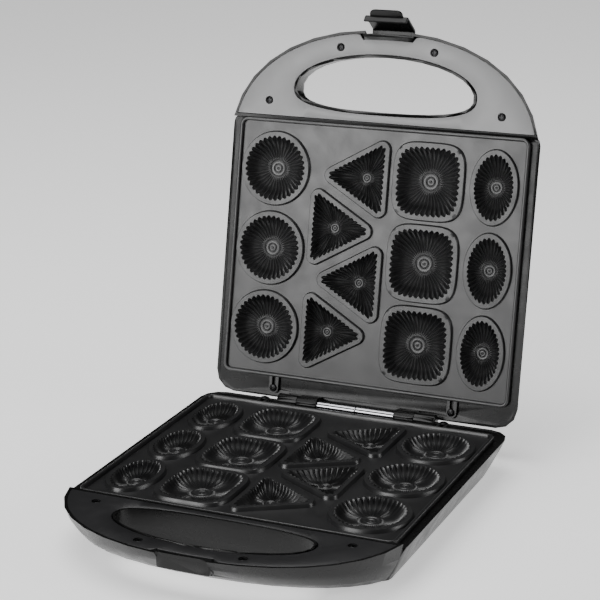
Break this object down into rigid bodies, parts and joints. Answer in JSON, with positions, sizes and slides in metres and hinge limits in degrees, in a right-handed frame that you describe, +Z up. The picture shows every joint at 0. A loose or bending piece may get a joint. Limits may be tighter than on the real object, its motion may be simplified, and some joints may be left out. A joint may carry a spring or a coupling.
{
  "type": "biscuit maker",
  "caption": "Countertop biscuit maker: two hinged plates with round, square, oval and triangular moulds, curved handles with finger openings, and a swinging latch on the lid.",
  "frame": {"origin": "centre of the object's box, on the surface that the feet stand on", "axes": "+X across the machine, to the right of a person in front of it; -Y to the handles and that person; +Z up"},
  "size_m": [0.3112, 0.4662, 0.4049],
  "materials": {
    "housing": "satin black moulding",
    "handle": "satin dark grey",
    "lid_cover": "satin mid grey",
    "coating": "dark non-stick coating on a casting",
    "chrome": "polished",
    "steel": "plain",
    "blackened": "blackened",
    "sheathing": "oxidised sheath",
    "aluminium": "mill finish sheet",
    "rubber": "matt",
    "ceramic": "unglazed ceramic",
    "insulation": "fibre sleeve",
    "red_lens": "clear red",
    "green_lens": "clear green"
  },
  "bodies": {
    "base": {"base_handle_cover": "handle", "base_handle_screw_1": "blackened", "base_handle_screw_2": "blackened", "base_handle_screw_3": "blackened", "base_handle_screw_4": "blackened", "base_lug_screw_1": "blackened", "base_lug_screw_2": "blackened", "base_plate_screw_1": "steel", "base_plate_screw_2": "steel", "base_plate_screw_3": "steel", "base_plate_screw_4": "steel", "base_shell": "housing", "cord_gland": "rubber", "foot_front_left": "rubber", "foot_front_right": "rubber", "foot_rear_left": "rubber", "foot_rear_right": "rubber", "hinge_pin_left": "steel", "hinge_pin_right": "steel", "hinge_sleeve_left": "chrome", "hinge_sleeve_right": "chrome", "lower_heater": "sheathing", "lower_heater_clip_left": "steel", "lower_heater_clip_right": "steel", "lower_plate": "coating", "lower_reflector": "aluminium", "terminal_block": "ceramic", "thermal_fuse": "insulation"},
    "lid": {"latch_pin": "steel", "lid_handle_cover": "lid_cover", "lid_handle_screw_1": "blackened", "lid_handle_screw_2": "blackened", "lid_handle_screw_3": "blackened", "lid_handle_screw_4": "blackened", "lid_lug_screw_1": "blackened", "lid_lug_screw_2": "blackened", "lid_plate_screw_1": "steel", "lid_plate_screw_2": "steel", "lid_plate_screw_3": "steel", "lid_plate_screw_4": "steel", "lid_shell": "housing", "power_lamp_lens": "red_lens", "ready_lamp_lens": "green_lens", "thermostat": "steel", "upper_heater": "sheathing", "upper_heater_clip_left": "steel", "upper_heater_clip_right": "steel", "upper_plate": "coating", "upper_reflector": "aluminium"},
    "latch": {"latch": "housing"}
  },
  "joints": [
    {"name": "lid_hinge", "type": "hinge", "parent": "base", "child": "lid", "pos_m": [0, 0.1275, 0.0337], "axis": [1, 0, 0], "range_deg": [0, 102.9]},
    {"name": "latch_hinge", "type": "hinge", "parent": "lid", "child": "latch", "pos_m": [0, 0.22265, 0.36943], "axis": [1, 0, 0], "range_deg": [0, 25]}
  ]
}
